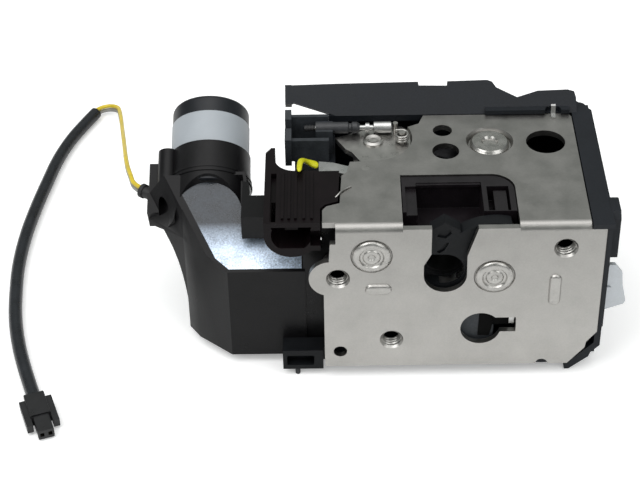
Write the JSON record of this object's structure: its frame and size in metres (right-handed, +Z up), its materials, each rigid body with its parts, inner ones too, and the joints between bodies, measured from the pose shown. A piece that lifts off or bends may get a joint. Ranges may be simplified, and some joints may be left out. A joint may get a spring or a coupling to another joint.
{
  "type": "door latch actuator",
  "caption": "Vehicle door latch in a sheet steel frame with a claw and pawl, a moulded rear casing, hand levers and a side-mounted electric lock motor on a short plug-ended cable.",
  "frame": {"origin": "middle of the underside of the latch's own box, cable left out", "axes": "+X to the right along the face plate, +Y from the face plate into the casing, +Z up towards the side plate"},
  "size_m": [0.2228, 0.1969, 0.0751],
  "materials": {
    "zinc_steel": "bright zinc plated",
    "dark_steel": "black phosphated",
    "bright_steel": "bare",
    "spring_steel": "oiled",
    "black_plastic": "fine moulded grain",
    "gloss_black": "smooth",
    "grey_plastic": "satin",
    "rubber": "matt",
    "black_paint": "satin",
    "white_label": "satin",
    "brass": "bright",
    "yellow_plastic": "satin",
    "yellow_wire": "satin",
    "grey_wire": "satin",
    "cable_sleeve": "satin",
    "plug_black": "satin"
  },
  "bodies": {
    "base": {"latch_frame": "zinc_steel", "claw_rivet": "zinc_steel", "pawl_rivet": "zinc_steel", "inner_plate": "dark_steel", "claw_spring": "spring_steel", "pawl_spring": "spring_steel", "mouth_insert": "black_plastic", "striker_buffer": "rubber", "lever_rivet": "zinc_steel", "side_rivet": "zinc_steel", "cable_holder": "black_plastic", "cable_bush": "grey_plastic", "lock_lever_pin": "zinc_steel", "lever_housing": "black_plastic", "actuator_housing": "black_plastic", "actuator_lid": "gloss_black", "motor_can": "black_paint", "label_band": "white_label", "motor_clamp": "black_plastic", "clamp_screws": "dark_steel", "wire_grommet": "rubber", "rear_casing": "black_plastic", "rear_cover": "black_plastic", "cover_clip": "bright_steel", "cover_screws": "dark_steel", "outside_lever_pin": "zinc_steel", "foot_clip": "black_plastic", "foot_pin": "dark_steel", "yellow_wire": "yellow_wire", "grey_wire": "grey_wire", "cable_sleeve": "cable_sleeve", "plug_housing": "plug_black", "plug_terminals": "brass"},
    "claw": {"claw": "bright_steel", "claw_coat": "black_plastic"},
    "pawl": {"pawl": "dark_steel"},
    "release_lever": {"release_lever": "zinc_steel", "lever_spring": "spring_steel"},
    "pull_rod": {"pull_rod": "bright_steel"},
    "lock_lever": {"lock_lever": "bright_steel", "lever_cap": "yellow_plastic"},
    "transfer_lever": {"transfer_lever": "dark_steel"},
    "outside_lever": {"outside_lever": "zinc_steel"},
    "key_lever": {"key_lever": "black_plastic", "key_link": "bright_steel"},
    "lock_hub": {"lock_hub": "black_plastic"},
    "output": {"worm_wheel": "grey_plastic", "output_lever": "grey_plastic"},
    "drive": {"motor_shaft": "bright_steel", "worm": "brass"}
  },
  "joints": [
    {"name": "claw_swing", "type": "hinge", "parent": "base", "child": "claw", "pos_m": [0.03895, -0.03496, 0.0451], "axis": [0, 1, 0], "range_deg": [0, 50]},
    {"name": "pawl_swing", "type": "hinge", "parent": "base", "child": "pawl", "pos_m": [-0.00255, -0.03496, 0.0545], "axis": [0, 1, 0], "range_deg": [-24, 0]},
    {"name": "release_swing", "type": "hinge", "parent": "base", "child": "release_lever", "pos_m": [-0.00075, 0.01074, 0.0631], "axis": [0, 0, 1], "range_deg": [0, 12], "stiffness_Nm_per_rad": 0.02, "springref_deg": -8.59},
    {"name": "rod_slide", "type": "slide", "parent": "base", "child": "pull_rod", "axis": [1, 0, 0], "range_m": [-0.0016, 0]},
    {"name": "lock_swing", "type": "hinge", "parent": "base", "child": "lock_lever", "pos_m": [-0.00385, -0.00716, 0.0621], "axis": [0, 0, 1], "range_deg": [-8, 4]},
    {"name": "transfer_swing", "type": "hinge", "parent": "base", "child": "transfer_lever", "pos_m": [0.04005, 0.00764, 0.0579], "axis": [0, 0, 1], "range_deg": [0, 8]},
    {"name": "outside_swing", "type": "hinge", "parent": "base", "child": "outside_lever", "pos_m": [0.06305, -0.03456, 0.0291], "axis": [0, 1, 0], "range_deg": [-10, 10], "stiffness_Nm_per_rad": 0.02},
    {"name": "key_swing", "type": "hinge", "parent": "base", "child": "key_lever", "pos_m": [0.03505, -0.03336, 0.0219], "axis": [0, 1, 0], "range_deg": [-25, 25], "stiffness_Nm_per_rad": 0.01},
    {"name": "hub_turn", "type": "hinge", "parent": "base", "child": "lock_hub", "pos_m": [-0.02925, -0.02176, 0.0617], "axis": [0, 1, 0], "range_deg": [-30, 30]},
    {"name": "output_turn", "type": "hinge", "parent": "base", "child": "output", "pos_m": [-0.05925, -0.01008, 0.02759], "axis": [1, 0, 0], "range_deg": [-25, 25]},
    {"name": "motor_turn", "type": "hinge", "parent": "base", "child": "drive", "pos_m": [-0.05925, -0.00265, 0.04242], "axis": [0, 0.9063, 0.4226], "range_deg": [-505, 505]}
  ],
  "couplings": [
    {"joint": "rod_slide", "follows": "release_swing", "m_per_rad": -0.007},
    {"joint": "motor_turn", "follows": "output_turn", "ratio": 20}
  ]
}
